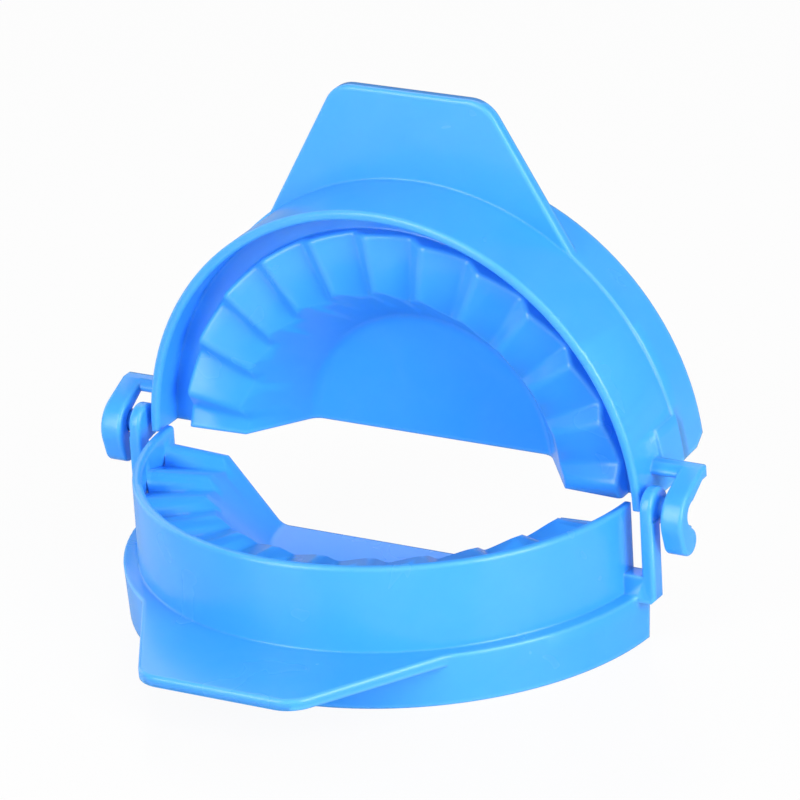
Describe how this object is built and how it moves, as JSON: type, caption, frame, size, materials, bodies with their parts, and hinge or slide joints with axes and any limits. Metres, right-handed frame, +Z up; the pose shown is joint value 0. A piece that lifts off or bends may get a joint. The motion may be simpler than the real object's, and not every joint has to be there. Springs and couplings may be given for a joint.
{
  "type": "empanada press",
  "caption": "Hand press for filled dough: two hinged half-round mouldings with meshing pleated crimp rings, a half bowl each, cutter skirts and finger tabs.",
  "frame": {"origin": "on the table, under the middle of the whole press as it stands open", "axes": "+Z up from the table, X along the hinge line, the lower half's finger tab towards -Y"},
  "size_m": [0.1178, 0.088, 0.0904],
  "materials": {
    "blue_plastic": "gloss"
  },
  "bodies": {
    "lower": {"lower_half": "blue_plastic"},
    "upper": {"upper_half": "blue_plastic"}
  },
  "joints": [
    {"name": "press_hinge", "type": "hinge", "parent": "lower", "child": "upper", "pos_m": [0, 0.02125, 0.0247], "axis": [1, 0, 0], "range_deg": [-91.4, 88.6]}
  ]
}
